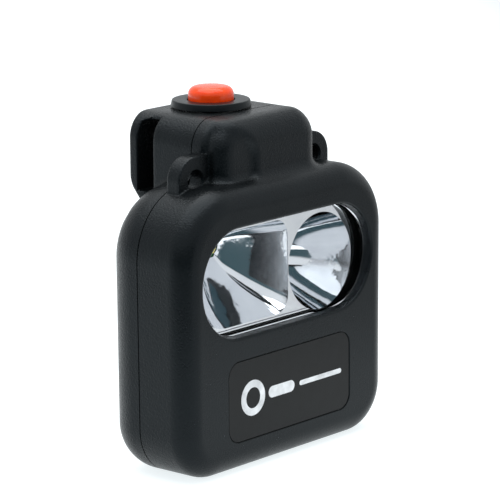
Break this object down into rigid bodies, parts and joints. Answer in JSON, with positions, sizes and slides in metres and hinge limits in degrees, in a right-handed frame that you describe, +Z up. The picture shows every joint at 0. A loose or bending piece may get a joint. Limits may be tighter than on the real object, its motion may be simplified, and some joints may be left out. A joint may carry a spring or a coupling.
{
  "type": "miner's cap lamp",
  "caption": "Cordless miner's cap lamp: flat moulded case with a stadium window over twin reflectors, a neck with a domed push button, ears and a rear strap loop.",
  "frame": {"origin": "middle of the bounding box's underside, on the surface that the case stands on", "axes": "+X to the right seen from the front, -Y forwards out of the window, +Z up towards the push button"},
  "size_m": [0.08, 0.037, 0.0937],
  "materials": {
    "case_plastic": "satin black moulded plastic with a fine spark texture",
    "collar_plastic": "black plastic with a greyer flat top",
    "button_plastic": "glossy orange-red plastic",
    "label_film": "smooth black film",
    "clear_plastic": "clear polished polycarbonate",
    "mirror_coat": "vacuum-coated bright mirror",
    "rubber": "moulded rubber",
    "aluminium": "milled",
    "steel": "zinc plated",
    "brass": "turned",
    "board": "green circuit board",
    "phosphor": "yellow LED phosphor under a clear dome",
    "cell_wrap": "blue film over an aluminium can",
    "tray_plastic": "moulded plastic",
    "wire_red": "wire insulation",
    "wire_black": "wire insulation"
  },
  "bodies": {
    "case": {"front_housing": "case_plastic", "rear_cover": "case_plastic", "housing_seal": "rubber", "name_plate": "label_film", "lens": "clear_plastic", "lens_seal": "rubber", "reflector": "mirror_coat", "led_board": "board", "main_led": "phosphor", "spot_led": "phosphor", "heat_spreader": "aluminium", "spreader_screw_1": "steel", "spreader_screw_2": "steel", "driver_board": "board", "battery_cell_1": "cell_wrap", "battery_cell_2": "cell_wrap", "battery_cradle": "tray_plastic", "protection_board": "board", "battery_lead_pos": "wire_red", "battery_lead_neg": "wire_black", "switch_collar": "collar_plastic", "button_spring": "steel", "button_seal": "rubber", "seal_washer": "steel", "tact_switch": "wire_black", "switch_board": "board", "switch_lead": "wire_black", "case_screw_1": "steel", "case_screw_2": "steel", "case_screw_3": "steel", "case_screw_4": "steel", "screw_insert_1": "brass", "screw_insert_2": "brass", "screw_insert_3": "brass", "screw_insert_4": "brass", "charge_contact_1": "brass", "charge_contact_2": "brass"},
    "push_button": {"switch_button": "button_plastic", "stem_clip": "steel"}
  },
  "joints": [
    {"name": "button_press", "type": "slide", "parent": "case", "child": "push_button", "axis": [0, 0, -1], "range_m": [0, 0.0012], "stiffness_N_per_m": 1000, "springref_m": -0.002, "deforming": ["button_spring"]}
  ]
}
